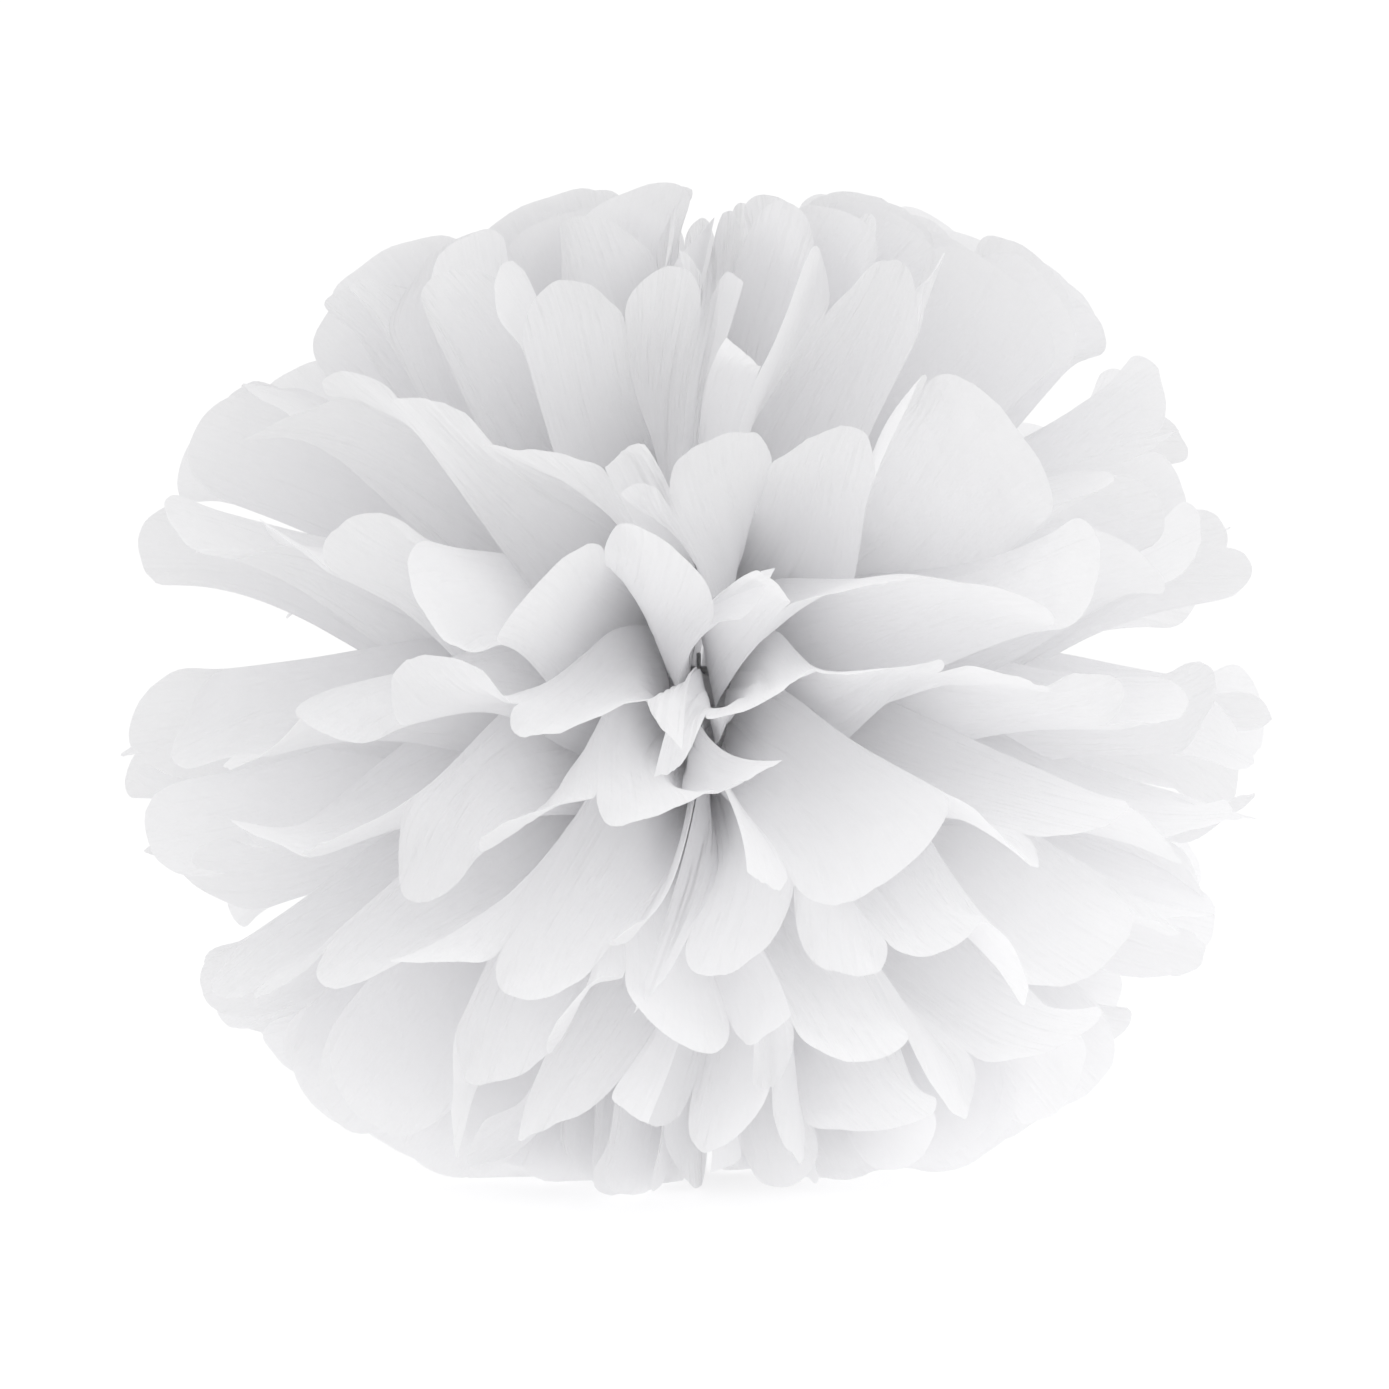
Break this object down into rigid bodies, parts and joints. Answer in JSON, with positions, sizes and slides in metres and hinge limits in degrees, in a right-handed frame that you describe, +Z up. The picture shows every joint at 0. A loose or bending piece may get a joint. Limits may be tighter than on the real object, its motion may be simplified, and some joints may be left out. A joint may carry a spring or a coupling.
{
  "type": "tissue paper pom pom",
  "caption": "Round tissue paper pom pom: pleated sheets with rounded ends, tied at the middle with wire and fanned out into a ball of petals.",
  "frame": {"origin": "under the middle of the ball, on the surface that the lowest petals stand on", "axes": "+Z up, along the axis that the sheets are pulled apart along; X along the pleats where they pass through the tie; the seams between the two fans face -Y and +Y"},
  "size_m": [0.2476, 0.2186, 0.2138],
  "materials": {
    "tissue": "matte",
    "tie_wire": "satin"
  },
  "bodies": {
    "root": {"tissue_sheet_01": "tissue", "tissue_sheet_02": "tissue", "tissue_sheet_03": "tissue", "tissue_sheet_04": "tissue", "tissue_sheet_05": "tissue", "tissue_sheet_06": "tissue", "tissue_sheet_07": "tissue", "tissue_sheet_08": "tissue", "tissue_sheet_09": "tissue", "tissue_sheet_10": "tissue", "wire_tie": "tie_wire"}
  },
  "joints": []
}
